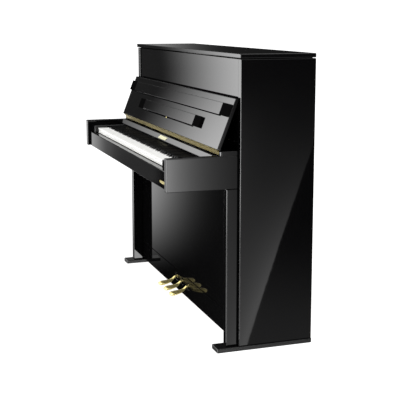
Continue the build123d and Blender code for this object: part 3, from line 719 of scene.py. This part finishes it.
def sky(graph, height, left):
    """Light that grows with height, less over the dark corner, with two narrow lights."""
    dark_corner = graph.times(
        graph.band(left, (-45, -35), (45, 55)), graph.smooth(height, 22, 28, 1, 0)
    )
    lit = graph.math("SUBTRACT", 1.0, dark_corner)
    bright_strip = graph.times(graph.bell(left, -15.2, 1.8), 0.25)
    dim_side = graph.times(graph.smooth(left, -12, -8, 1, 0), 0.012)
    horizon = graph.times(
        graph.plus(bright_strip, dim_side),
        graph.band(height, (0, 0.5), (2.6, 5)),
        graph.smooth(left, -45, -35),
    )
    name_box = graph.times(graph.bell(left, 6, 2.5), graph.smooth(height, 12, 21, 0, 2.1))
    return graph.plus(graph.times(graph.smooth(height, 3, 24, 0, 1.2), lit), horizon, name_box)


def ground(graph, down, left, right):
    """Light from below the horizon, with two dark gaps in its upper part."""
    clear = graph.times(
        graph.smooth(graph.bell(left, 18, 11), 0.1, 0.7, 1, 0),
        graph.smooth(graph.bell(right, 24, 11), 0.1, 0.7, 1, 0),
    )
    upper_part = graph.times(graph.smooth(down, 4, 30, 0, 0.25), clear)
    return graph.plus(upper_part, graph.smooth(down, 22, 42, 0, 0.4))


def bass_box(graph, height, left):
    """The box over the bass end. Its right edge slants with height."""
    slant = graph.plus(left, graph.times(graph.math("MAXIMUM", graph.plus(height, 3), 0), 0.14))
    return graph.times(
        graph.smooth(slant, 16.2, 23.2, 0.045, 3.3),
        graph.band(height, (-9, -6.8), (12, 18)),
        graph.band(left, (0, 4), (35, 60)),
    )


def treble_side(graph, height, down, right):
    """The wall and the box on the treble side, both cut by the slanting edge of a flag."""
    flag_edge = graph.plus(graph.times(graph.plus(height, 19.98), 1 / 3.08), 21.72)
    open_side = graph.smooth(graph.math("SUBTRACT", right, flag_edge), -0.04, 0.04, 1, 0)
    flagged = graph.math("SUBTRACT", 1.0, open_side)

    off = graph.math("SUBTRACT", right, 23.0)
    growth = graph.times(graph.plus(graph.times(off, 0.055), 0.31), down)
    wall = graph.math("EXPONENT", graph.plus(growth, graph.times(off, -0.3), -4.66))
    open_wall = graph.times(open_side, graph.math("MINIMUM", wall, 1.4))
    flagged_wall = graph.times(flagged, graph.bell(height, -20, 3), 0.27)
    side_wall = graph.times(
        graph.plus(open_wall, flagged_wall),
        graph.band(right, (10, 15), (30, 45)),
        graph.smooth(height, 0, 4, 1, 0),
        graph.smooth(down, 26, 36, 1, 0),
    )

    fall_off = graph.math("EXPONENT", graph.times(graph.math("SUBTRACT", right, 16.85), -0.66))
    side_box = graph.times(
        graph.math("MINIMUM", fall_off, 1.6),
        graph.band(right, (8, 14), (24, 32)),
        graph.band(down, (3, 9), (20, 30)),
        4.4,
        open_side,
    )
    return graph.plus(side_wall, side_box)


def rim_boxes(graph, height, down, left, right):
    """Boxes in front, at a corner and at one end, for rounded edges and the pedals."""
    edge_box = graph.times(
        graph.band(left, (103, 109), (148, 157)),
        graph.band(down, (-1, 1), (18, 24)),
        graph.smooth(down, 10, 14.5, 12.0, 0.9),
    )
    line_box = graph.times(graph.bell(left, 78, 15), graph.band(down, (1, 3), (20, 26)), 9)
    front_box = graph.times(graph.bell(left, 92, 14), graph.smooth(down, 2, 14, 1.4, 0.3))
    corner_box = graph.times(graph.bell(left, 48, 9), graph.smooth(height, 15, 40, 0.8, 0))
    end_box = graph.times(graph.bell(right, -3, 5), graph.smooth(height, -25, 20, 0.15, 1.0))
    return graph.plus(edge_box, line_box, front_box, corner_box, end_box)


def build_world():
    """A white surround, and soft boxes round the room that only the gloss reflects."""
    world = bpy.data.worlds.new("studio")
    bpy.context.scene.world = world
    world.use_nodes = True
    world.node_tree.nodes.clear()
    graph = Graph(world.node_tree)
    height, left, right = look_angles(graph)
    down = graph.times(height, -1)
    room = graph.plus(
        sky(graph, height, left),
        ground(graph, down, left, right),
        bass_box(graph, height, left),
        treble_side(graph, height, down, right),
        rim_boxes(graph, height, down, left, right),
    )
    bounces = graph.node("ShaderNodeLightPath", output="Glossy Depth")
    share = graph.smooth(bounces, 1.2, 1.8, 1, SECOND_REFLECTION)
    studio = graph.times(room, share)
    glossy = graph.node("ShaderNodeLightPath", output="Is Glossy Ray")
    strength = graph.node("ShaderNodeMix", {"Factor": glossy, "A": SURROUND, "B": studio})
    surround = graph.node("ShaderNodeBackground", {"Color": colour(1, 1, 1), "Strength": strength})
    output = world.node_tree.nodes.new("ShaderNodeOutputWorld")
    graph.feed(output.inputs["Surface"], surround)


def sheet(name, corners):
    """A flat sheet with four corners."""
    mesh = bpy.data.meshes.new(name)
    mesh.from_pydata(corners, [], [(0, 1, 2, 3)])
    made = bpy.data.objects.new(name, mesh)
    bpy.context.scene.collection.objects.link(made)
    return made


def card_glow(graph):
    """How brightly each place on the card shines, as a sum of soft patches."""
    _, across, height = graph.axes(graph.place())
    above = graph.times(graph.smooth(height, 0.34, 0.4), graph.smooth(across, -0.42, -0.36, 1, 0))
    low_glow = graph.times(
        graph.bell(across, -0.17, 0.19),
        graph.smooth(height, -0.32, 0.36, 0, 1.35),
        graph.math("SUBTRACT", 1.0, above),
    )
    slip_glow = graph.times(
        graph.bell(across, -0.43, 0.075), graph.smooth(height, 0.35, 0.45, 0, 1.05)
    )
    haze = graph.times(
        graph.band(across, (-0.95, -0.85), (-0.6, -0.55)), graph.smooth(height, 0.25, 0.32, 0, 0.08)
    )
    arm_glow = graph.times(
        graph.band(across, (-1.2, -1.1), (-0.957, -0.952)), graph.smooth(height, 0.1, 0.2, 0, 0.8)
    )
    return graph.plus(low_glow, slip_glow, haze, arm_glow)


def build_reflector():
    """A card beyond the bass end, seen only in the gloss: it lights the lower panel and slip."""
    card_x = -1.5
    front, back = -1.3, -0.1
    bottom, top = -0.8, 0.7
    corners = [
        (card_x, front, bottom), (card_x, back, bottom), (card_x, back, top), (card_x, front, top)
    ]
    card = sheet("reflector", corners)
    made = bpy.data.materials.new("reflector")
    made.use_nodes = True
    made.node_tree.nodes.clear()
    graph = Graph(made.node_tree)
    glow = card_glow(graph)
    shine = graph.node("ShaderNodeEmission", {"Color": colour(1, 1, 1), "Strength": glow})
    clear = graph.node("ShaderNodeBsdfTransparent")
    both = graph.node("ShaderNodeAddShader", {0: shine, 1: clear})
    output = made.node_tree.nodes.new("ShaderNodeOutputMaterial")
    graph.feed(output.inputs["Surface"], both)
    card.data.materials.append(made)
    card.visible_camera = False
    card.visible_diffuse = False
    card.visible_shadow = False


def build_floor():
    """A plain pale floor, bright enough that only soft shadows show on it."""
    half = FLOOR_HALF
    floor = sheet("floor", [(-half, -half, 0), (half, -half, 0), (half, half, 0), (-half, half, 0)])
    made, graph, shader = material(
        "floor", Roughness=0.7, Specular_IOR_Level=0.0, Emission_Strength=0.96
    )
    shader.inputs["Emission Color"].default_value = colour(1, 1, 1)
    speck = graph.noise(graph.place(), 40.0)
    paint = graph.blend(speck, colour(0.32, 0.32, 0.32), colour(0.28, 0.28, 0.28))
    graph.feed(shader.inputs["Base Color"], paint)
    floor.data.materials.append(made)
    floor.visible_glossy = False


def build_lamp():
    """One large soft lamp above, in front and to the right."""
    lamp = bpy.data.lights.new("soft_lamp", "AREA")
    lamp.shape = "DISK"
    lamp.size = LAMP_WIDE
    lamp.energy = LAMP_POWER
    holder = bpy.data.objects.new("soft_lamp", lamp)
    holder.location = LAMP_PLACE
    aim = Vector(LAMP_AIM) - Vector(LAMP_PLACE)
    holder.rotation_euler = aim.to_track_quat("-Z", "Y").to_euler()
    holder.visible_glossy = False
    bpy.context.scene.collection.objects.link(holder)


def build_camera():
    """The camera, with no depth of field."""
    eye = bpy.data.cameras.new("camera")
    eye.lens = CAMERA_LENS
    eye.shift_y = CAMERA_SHIFT
    eye.clip_end = 200
    holder = bpy.data.objects.new("camera", eye)
    holder.location = CAMERA_PLACE
    holder.rotation_euler = (radians(90 - CAMERA_TILT), 0, radians(CAMERA_TURN))
    bpy.context.scene.collection.objects.link(holder)
    bpy.context.scene.camera = holder


build_world()
build_reflector()
build_floor()
build_lamp()
build_camera()
bpy.context.scene.view_settings.view_transform = "Standard"
